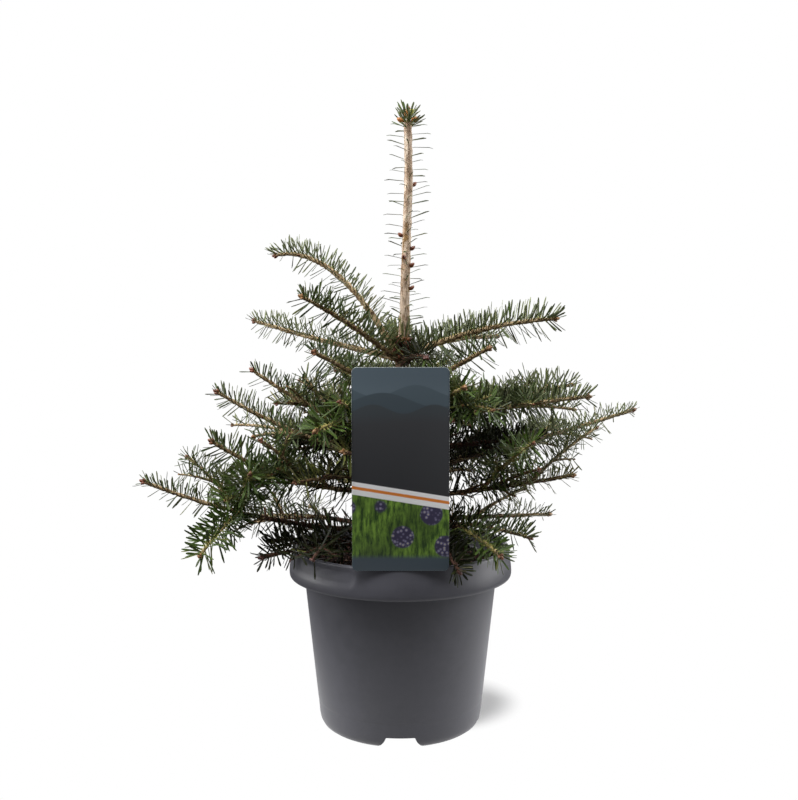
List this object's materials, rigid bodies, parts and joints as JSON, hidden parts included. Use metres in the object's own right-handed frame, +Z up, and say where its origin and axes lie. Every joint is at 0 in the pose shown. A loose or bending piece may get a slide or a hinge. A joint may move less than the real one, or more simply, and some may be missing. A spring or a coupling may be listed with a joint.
{
  "type": "korean fir",
  "caption": "Young korean fir in its nursery pot: bare leader over whorls of needled boughs, soil and a plain picture card hooked over the rim.",
  "frame": {"origin": "centre of the pot's flat underside, at the small pad it stands on", "axes": "+Z up along the trunk, -Y towards the front, where the card hangs, +X to the right seen from the front"},
  "size_m": [0.4282, 0.2724, 0.527],
  "materials": {
    "pot_plastic": "moulded dark grey nursery plastic, satin, fine grain",
    "potting_soil": "loose dark brown bark and peat crumbs",
    "bark": "beige brown young bark with scars and lenticels",
    "needles": "dark green flat needles, paler beneath, with red brown buds",
    "card_print": "thin plastic sheet with a plain landscape design, light gloss"
  },
  "bodies": {
    "root": {"pot": "pot_plastic", "soil": "potting_soil", "care_card": "card_print", "trunk": "bark", "leader_tuft": "needles", "mass_top_left_high": "needles", "mass_top_left_front": "needles", "mass_top_left_back": "needles", "mass_top_right": "needles", "mass_top_right_back": "needles", "mass_top_back": "needles", "mass_top_front": "needles", "mass_spur_left": "needles", "mass_spur_right": "needles", "mass_spur_back_right": "needles", "mass_spur_back_left": "needles", "bough_mid_right": "bark", "mass_mid_right": "needles", "bough_mid_right_front": "bark", "mass_mid_right_front": "needles", "bough_mid_left": "bark", "mass_mid_left": "needles", "bough_mid_left_front": "bark", "mass_mid_left_front": "needles", "bough_mid_back": "bark", "mass_mid_back": "needles", "bough_mid_back_right": "bark", "mass_mid_back_right": "needles", "bough_mid_back_left": "bark", "mass_mid_back_left": "needles", "bough_low_left": "bark", "mass_low_left": "needles", "bough_low_right_back": "bark", "mass_low_right_back": "needles", "bough_low_back": "bark", "mass_low_back": "needles", "bough_low_right": "bark", "mass_low_right": "needles", "bough_low_left_mid": "bark", "mass_low_left_mid": "needles", "bough_low_left_front": "bark", "mass_low_left_front": "needles", "bough_low_back_left": "bark", "mass_low_back_left": "needles", "bough_low_back_right": "bark", "mass_low_back_right": "needles", "bough_base_left": "bark", "mass_base_left": "needles", "bough_base_right_back": "bark", "mass_base_right_back": "needles", "bough_base_right_front": "bark", "mass_base_right_front": "needles", "bough_base_back": "bark", "mass_base_back": "needles", "bough_base_back_left": "bark", "mass_base_back_left": "needles", "mass_base_left_rim": "needles", "mass_base_front_right": "needles", "mass_inner_right": "needles", "mass_inner_left": "needles"}
  },
  "joints": []
}
